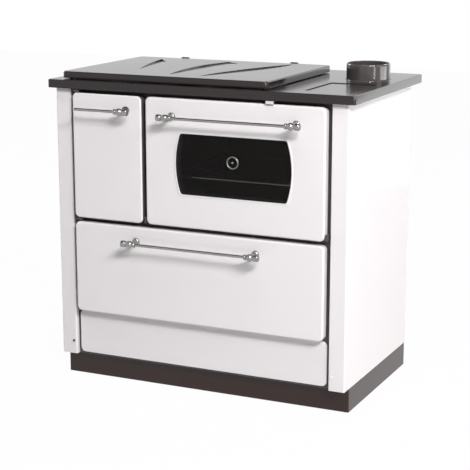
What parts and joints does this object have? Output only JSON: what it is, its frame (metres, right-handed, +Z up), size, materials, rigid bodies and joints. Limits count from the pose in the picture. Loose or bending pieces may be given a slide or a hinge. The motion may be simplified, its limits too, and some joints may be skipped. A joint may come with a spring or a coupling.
{
  "type": "wood cookstove",
  "caption": "Free-standing enamelled wood cookstove: fire door, drop-down oven door with a window, wood drawer, hinged lid over the hotplate, dark plinth and a flue collar on top.",
  "frame": {"origin": "on the floor, in the middle of the stove's width and of its overall depth with the handles", "axes": "+Z up, -Y towards the user in front of the stove, +X to the user's right"},
  "size_m": [0.9, 0.598, 0.896],
  "materials": {
    "white_enamel": "gloss vitreous enamel on sheet steel",
    "dark_enamel": "dark brown-black gloss enamel",
    "dark_steel": "black heat-resistant paint on sheet steel",
    "cast_iron": "ground or blacked cast iron",
    "chrome": "polished chrome plate",
    "steel": "bright steel",
    "needle": "dull grey lacquer",
    "glass": "dark tinted heat-resistant glass",
    "firebrick": "fireclay",
    "rope_seal": "woven glass-fibre rope",
    "insulation": "mineral wool board"
  },
  "bodies": {
    "stove_body": {"side_panel_left": "white_enamel", "side_panel_right": "white_enamel", "lower_front_panel": "white_enamel", "plinth": "dark_enamel", "front_frame": "dark_enamel", "top_frame": "dark_enamel", "oven_box": "dark_enamel", "baking_tray": "dark_enamel", "base_pan": "dark_steel", "back_panel": "dark_steel", "flue_box": "dark_steel", "firebox_casing": "dark_steel", "ash_pan": "dark_steel", "deck": "dark_steel", "deck_strips": "dark_steel", "drawer_runners": "dark_steel", "door_hinge_lugs": "dark_steel", "lid_hinge_brackets": "dark_steel", "hotplate": "cast_iron", "hotplate_ring": "cast_iron", "hotplate_centre": "cast_iron", "flue_collar": "cast_iron", "grate_frame": "cast_iron", "fire_grate": "cast_iron", "oven_rack": "steel", "casing_screws": "steel", "firebricks": "firebrick", "insulation_slabs": "insulation"},
    "fire_door": {"fire_door_panel": "white_enamel", "fire_door_liner": "dark_steel", "fire_door_shield": "firebrick", "fire_door_gasket": "rope_seal", "fire_hinge_bushes": "dark_steel", "latch_rosette": "chrome"},
    "fire_latch": {"lever_bar": "chrome", "lever_knuckle": "chrome", "latch_tongue": "dark_steel"},
    "air_slide": {"air_slide": "dark_steel"},
    "oven_door": {"oven_door_panel": "white_enamel", "window_trim": "white_enamel", "oven_glass": "glass", "glass_retainer": "dark_steel", "oven_door_liner": "dark_steel", "oven_door_gasket": "rope_seal", "oven_hinge_bushes": "dark_steel", "oven_handle_bar": "chrome", "oven_handle_ends": "chrome", "thermometer_case": "steel"},
    "needle": {"thermometer_needle": "needle"},
    "wood_drawer": {"drawer_front": "white_enamel", "drawer_liner": "dark_steel", "drawer_box": "dark_steel", "drawer_handle_bar": "chrome", "drawer_handle_ends": "chrome"},
    "cover_lid": {"lid_panel": "dark_enamel", "lid_hinge_leaves": "dark_steel"},
    "damper": {"damper_slide": "chrome"},
    "cleaning_cover": {"cleaning_cover": "dark_enamel"}
  },
  "joints": [
    {"name": "fire_door_hinge", "type": "hinge", "parent": "stove_body", "child": "fire_door", "pos_m": [-0.362, -0.242, 0.643], "axis": [0, 0, -1], "range_deg": [0, 100]},
    {"name": "fire_latch_lever", "type": "hinge", "parent": "fire_door", "child": "fire_latch", "pos_m": [-0.204, -0.251, 0.777], "axis": [0, 1, 0], "range_deg": [0, 45]},
    {"name": "air_slide_travel", "type": "slide", "parent": "fire_door", "child": "air_slide", "axis": [1, 0, 0], "range_m": [0, 0.011]},
    {"name": "oven_door_hinge", "type": "hinge", "parent": "stove_body", "child": "oven_door", "pos_m": [0.113, -0.242, 0.479], "axis": [1, 0, 0], "range_deg": [0, 90]},
    {"name": "thermometer_pointer", "type": "hinge", "parent": "oven_door", "child": "needle", "pos_m": [0.113, -0.252, 0.657], "axis": [0, 1, 0], "range_deg": [0, 180]},
    {"name": "wood_drawer_slide", "type": "slide", "parent": "stove_body", "child": "wood_drawer", "axis": [0, -1, 0], "range_m": [0, 0.38]},
    {"name": "cover_lid_hinge", "type": "hinge", "parent": "stove_body", "child": "cover_lid", "pos_m": [-0.096, 0.241, 0.862], "axis": [-1, 0, 0], "range_deg": [0, 95]},
    {"name": "damper_pull", "type": "slide", "parent": "stove_body", "child": "damper", "axis": [0, -1, 0], "range_m": [0, 0.085]},
    {"name": "cleaning_cover_lift", "type": "slide", "parent": "stove_body", "child": "cleaning_cover", "axis": [0, 0, 1], "range_m": [0, 0.06]}
  ]
}
